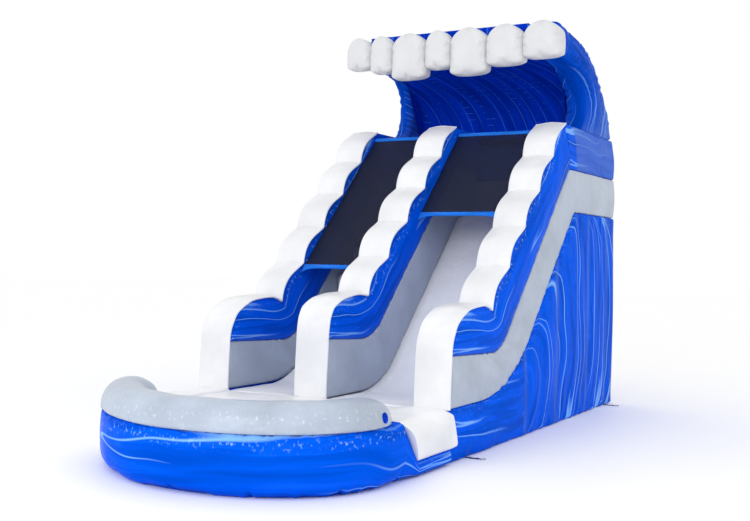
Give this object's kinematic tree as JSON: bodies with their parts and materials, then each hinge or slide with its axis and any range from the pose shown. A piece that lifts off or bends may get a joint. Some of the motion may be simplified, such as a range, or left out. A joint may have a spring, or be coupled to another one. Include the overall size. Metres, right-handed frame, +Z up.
{
  "type": "inflatable two-lane water slide with splash pool and wave canopy",
  "caption": "Inflatable water slide with a climbing lane and a slide lane between padded walls, a raised platform under a curling wave canopy and a splash pool at the foot.",
  "frame": {"origin": "on the ground at the middle of the footprint's bounding box", "axes": "+Z up, +Y from the splash pool towards the back of the tower, +X to the right seen from the pool"},
  "size_m": [3.2232, 7.3099, 4.6006],
  "materials": {
    "blue_marbled_vinyl": "glossy marbled PVC-coated fabric",
    "deep_blue_vinyl": "glossy marbled PVC-coated fabric",
    "white_vinyl": "satin PVC-coated fabric",
    "grey_vinyl": "satin PVC-coated fabric",
    "black_mesh_net": "woven mesh",
    "navy_webbing": "woven webbing",
    "steel_ring": "zinc plated"
  },
  "bodies": {
    "root": {"anchor_ring_left_front": "steel_ring", "anchor_ring_left_rear": "steel_ring", "anchor_ring_right_front": "steel_ring", "anchor_ring_right_rear": "steel_ring", "anchor_strap_left_front": "navy_webbing", "anchor_strap_left_rear": "navy_webbing", "anchor_strap_right_front": "navy_webbing", "anchor_strap_right_rear": "navy_webbing", "climb_bed": "white_vinyl", "climb_step_1": "white_vinyl", "climb_step_2": "white_vinyl", "climb_step_3": "white_vinyl", "climb_step_4": "white_vinyl", "climb_step_5": "white_vinyl", "crest_puff_1": "white_vinyl", "crest_puff_2": "white_vinyl", "crest_puff_3": "white_vinyl", "crest_puff_4": "white_vinyl", "crest_puff_5": "white_vinyl", "crest_puff_6": "white_vinyl", "crest_puff_7": "white_vinyl", "entry_flap_left": "white_vinyl", "entry_flap_right": "white_vinyl", "landing_base": "blue_marbled_vinyl", "landing_deck": "white_vinyl", "left_wall_blue": "blue_marbled_vinyl", "left_wall_cap": "white_vinyl", "left_wall_grey": "grey_vinyl", "middle_wall_blue": "blue_marbled_vinyl", "middle_wall_cap": "white_vinyl", "middle_wall_grey": "grey_vinyl", "net_bar_left_high": "blue_marbled_vinyl", "net_bar_left_low": "blue_marbled_vinyl", "net_bar_right_high": "blue_marbled_vinyl", "net_bar_right_low": "blue_marbled_vinyl", "net_left": "black_mesh_net", "net_right": "black_mesh_net", "platform_floor": "white_vinyl", "platform_side_left": "blue_marbled_vinyl", "platform_side_right": "blue_marbled_vinyl", "pool_floor": "white_vinyl", "pool_rim": "grey_vinyl", "pool_wall": "blue_marbled_vinyl", "rear_wall_blue": "blue_marbled_vinyl", "rear_wall_grey": "grey_vinyl", "right_wall_blue": "blue_marbled_vinyl", "right_wall_cap": "white_vinyl", "right_wall_grey": "grey_vinyl", "slide_bed": "white_vinyl", "tower_back": "blue_marbled_vinyl", "tower_side_left": "blue_marbled_vinyl", "tower_side_right": "blue_marbled_vinyl", "wave_back": "deep_blue_vinyl", "wave_cheek_left": "blue_marbled_vinyl", "wave_cheek_right": "blue_marbled_vinyl"}
  },
  "joints": []
}
